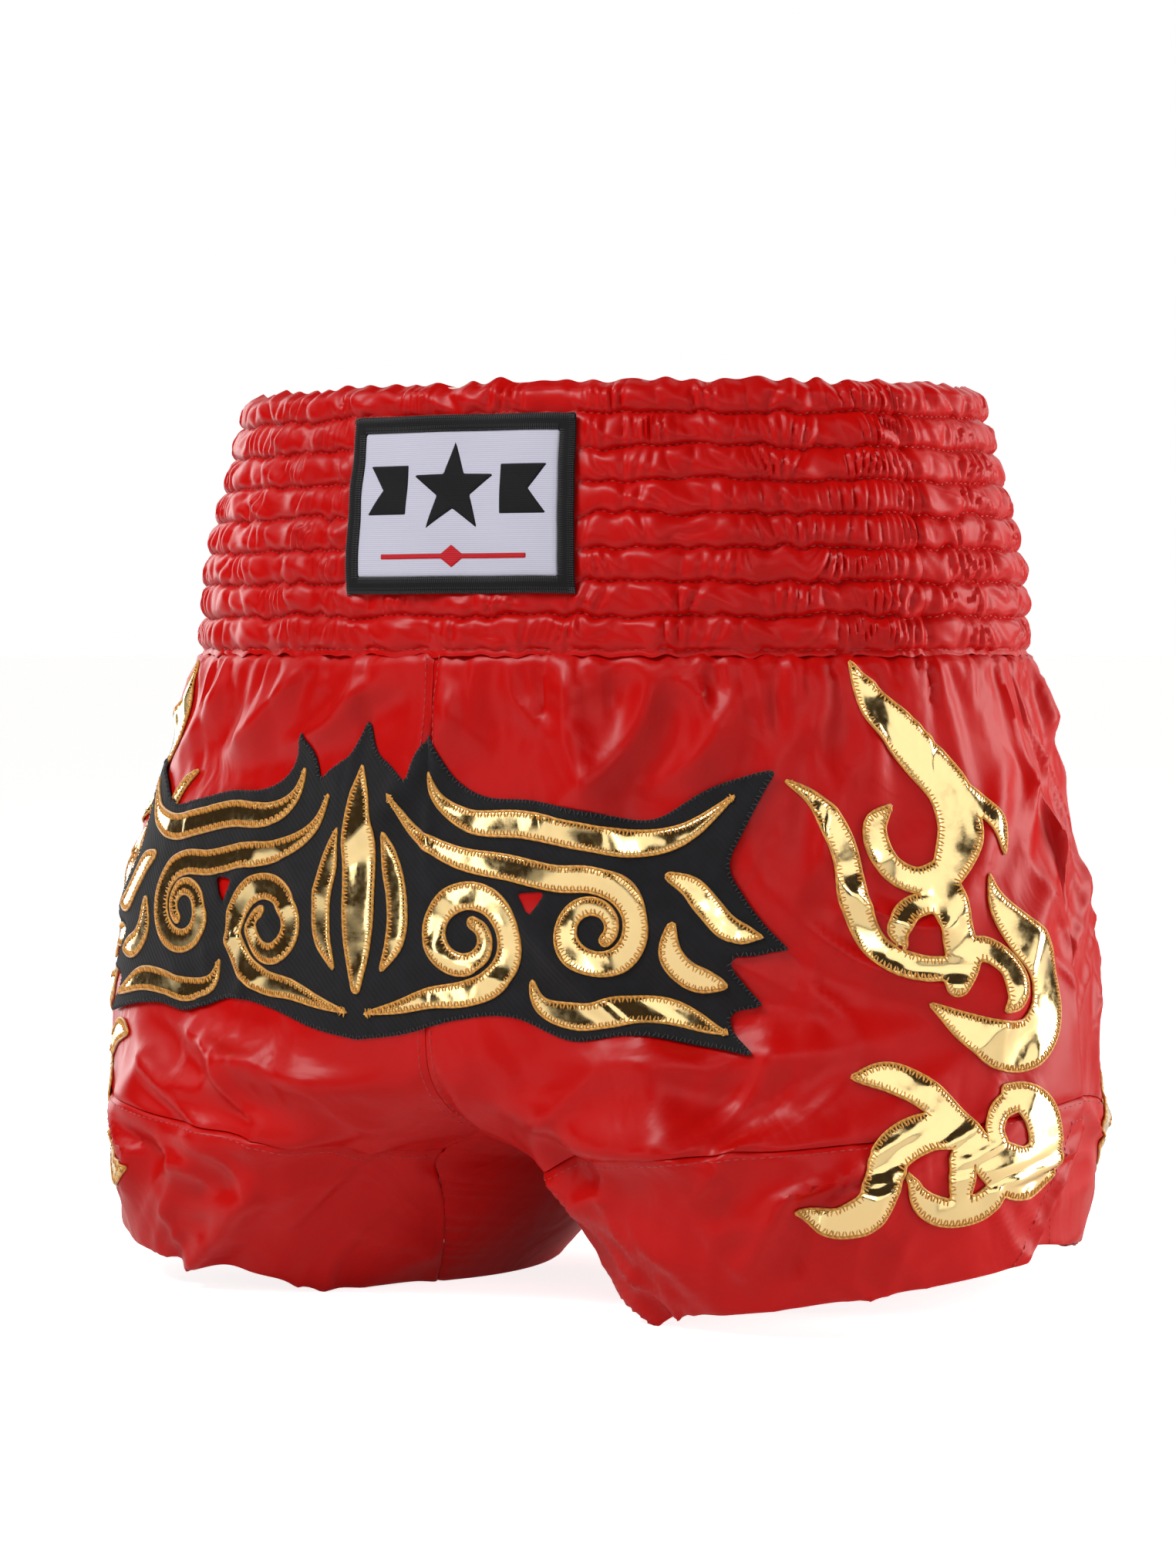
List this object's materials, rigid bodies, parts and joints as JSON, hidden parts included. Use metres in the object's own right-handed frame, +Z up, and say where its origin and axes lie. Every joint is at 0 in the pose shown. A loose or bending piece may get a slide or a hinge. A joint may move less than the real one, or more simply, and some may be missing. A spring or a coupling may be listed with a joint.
{
  "type": "boxing shorts",
  "caption": "Satin boxing shorts standing open, with a ruched waistband, side slits, hem bands and foil appliqués.",
  "frame": {"origin": "middle of the whole object, on the plane that the lowest hem stands on", "axes": "+X to the wearer's left, -Y to the front, +Z up to the waist"},
  "size_m": [0.3968, 0.2531, 0.329],
  "materials": {
    "red_satin": "polyester satin, soft gloss",
    "elastic": "woven elastic tape, matt",
    "gold_foil": "mirror foil on cloth, sewn with gold thread",
    "black_backing": "black twill backing cloth",
    "white_weave": "woven label",
    "black_thread": "satin-stitched thread",
    "red_thread": "satin-stitched thread"
  },
  "bodies": {
    "root": {"back_left_flame_crest": "gold_foil", "back_left_flame_tail": "gold_foil", "back_left_flame_wing": "gold_foil", "back_left_hem_band": "red_satin", "back_left_panel": "red_satin", "back_left_slit_facing": "red_satin", "back_right_flame_crest": "gold_foil", "back_right_flame_tail": "gold_foil", "back_right_flame_wing": "gold_foil", "back_right_hem_band": "red_satin", "back_right_panel": "red_satin", "back_right_slit_facing": "red_satin", "back_waistband": "red_satin", "crotch_gusset": "red_satin", "elastic_tape_1": "elastic", "elastic_tape_2": "elastic", "elastic_tape_3": "elastic", "elastic_tape_4": "elastic", "elastic_tape_5": "elastic", "elastic_tape_6": "elastic", "elastic_tape_7": "elastic", "elastic_tape_8": "elastic", "front_left_flame_crest": "gold_foil", "front_left_flame_tail": "gold_foil", "front_left_flame_wing": "gold_foil", "front_left_hem_band": "red_satin", "front_left_panel": "red_satin", "front_left_slit_facing": "red_satin", "front_right_flame_crest": "gold_foil", "front_right_flame_tail": "gold_foil", "front_right_flame_wing": "gold_foil", "front_right_hem_band": "red_satin", "front_right_panel": "red_satin", "front_right_slit_facing": "red_satin", "front_waistband": "red_satin", "label_border": "black_thread", "label_field": "white_weave", "label_ribbon_left": "black_thread", "label_ribbon_right": "black_thread", "label_rule": "red_thread", "label_star": "black_thread", "motif_backing": "black_backing", "motif_foot_leaf_left": "gold_foil", "motif_foot_leaf_right": "gold_foil", "motif_inner_leaf_left": "gold_foil", "motif_inner_leaf_right": "gold_foil", "motif_low_leaf_left": "gold_foil", "motif_low_leaf_right": "gold_foil", "motif_lower_volute_left": "gold_foil", "motif_lower_volute_right": "gold_foil", "motif_plume_left": "gold_foil", "motif_plume_right": "gold_foil", "motif_side_leaf_left": "gold_foil", "motif_side_leaf_right": "gold_foil", "motif_spear": "gold_foil", "motif_upper_volute_left": "gold_foil", "motif_upper_volute_right": "gold_foil"}
  },
  "joints": []
}
